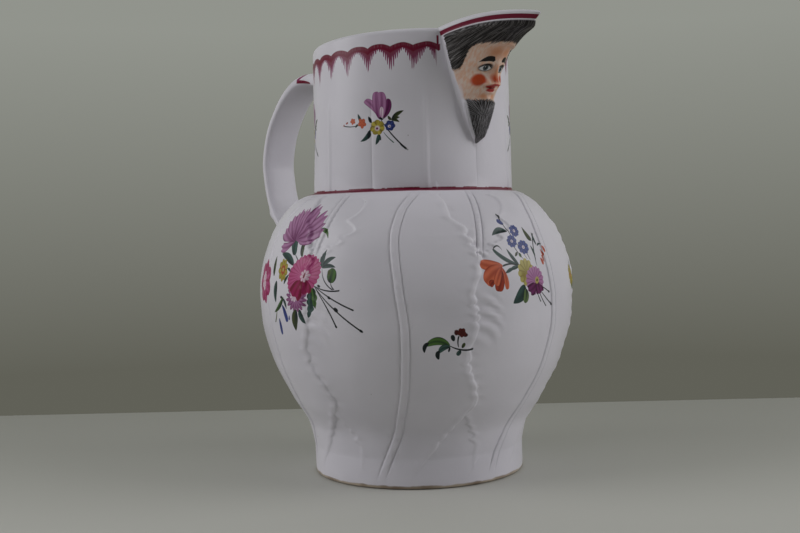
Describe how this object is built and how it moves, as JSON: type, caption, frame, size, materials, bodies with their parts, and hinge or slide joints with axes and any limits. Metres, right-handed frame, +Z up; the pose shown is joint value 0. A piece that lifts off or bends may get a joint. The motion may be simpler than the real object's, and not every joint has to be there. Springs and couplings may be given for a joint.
{
  "type": "mask jug",
  "caption": "Moulded earthenware jug for pouring, with a beaked spout that carries a bearded mask, a fluted neck and a loop handle.",
  "frame": {"origin": "centre of the flat base", "axes": "+Z up along the body's axis, +X out along the spout; the handle is opposite, near -X"},
  "size_m": [0.2242, 0.163, 0.2246],
  "materials": {
    "white_glaze": "cool white tin glaze over earthenware, satin gloss, painted with flower sprays, a crimson comb-edged band and a coloured mask; unglazed buff base"
  },
  "bodies": {
    "root": {"mask_jug": "white_glaze"}
  },
  "joints": []
}
